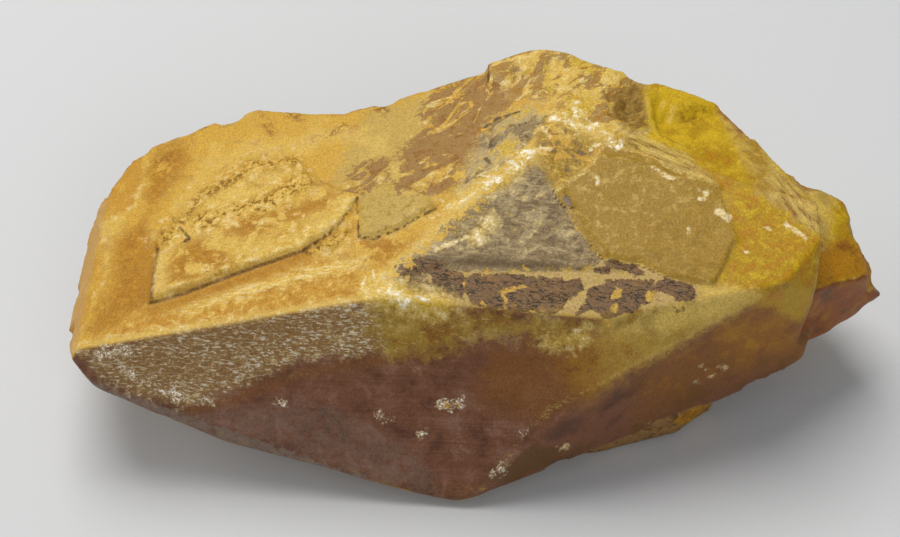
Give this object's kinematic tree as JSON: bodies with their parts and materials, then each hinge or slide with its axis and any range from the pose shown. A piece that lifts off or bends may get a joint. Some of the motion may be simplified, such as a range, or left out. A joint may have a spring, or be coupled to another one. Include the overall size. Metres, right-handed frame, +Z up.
{
  "type": "raw barite crystal",
  "caption": "Hand-size raw barite crystal with flat roofs, raised growth plates, a broken back and a thin side blade, lying on its flat under side.",
  "frame": {"origin": "middle of the crystal's box in plan, at the height of the surface it rests on", "axes": "+X along the crystal towards the thin blade, +Y to the broken back, +Z up from the face it rests on"},
  "size_m": [0.131, 0.065, 0.0425],
  "materials": {
    "barite": "golden ochre mineral, satin to glassy, with brown and grey coatings"
  },
  "bodies": {
    "root": {"barite_crystal": "barite"}
  },
  "joints": []
}
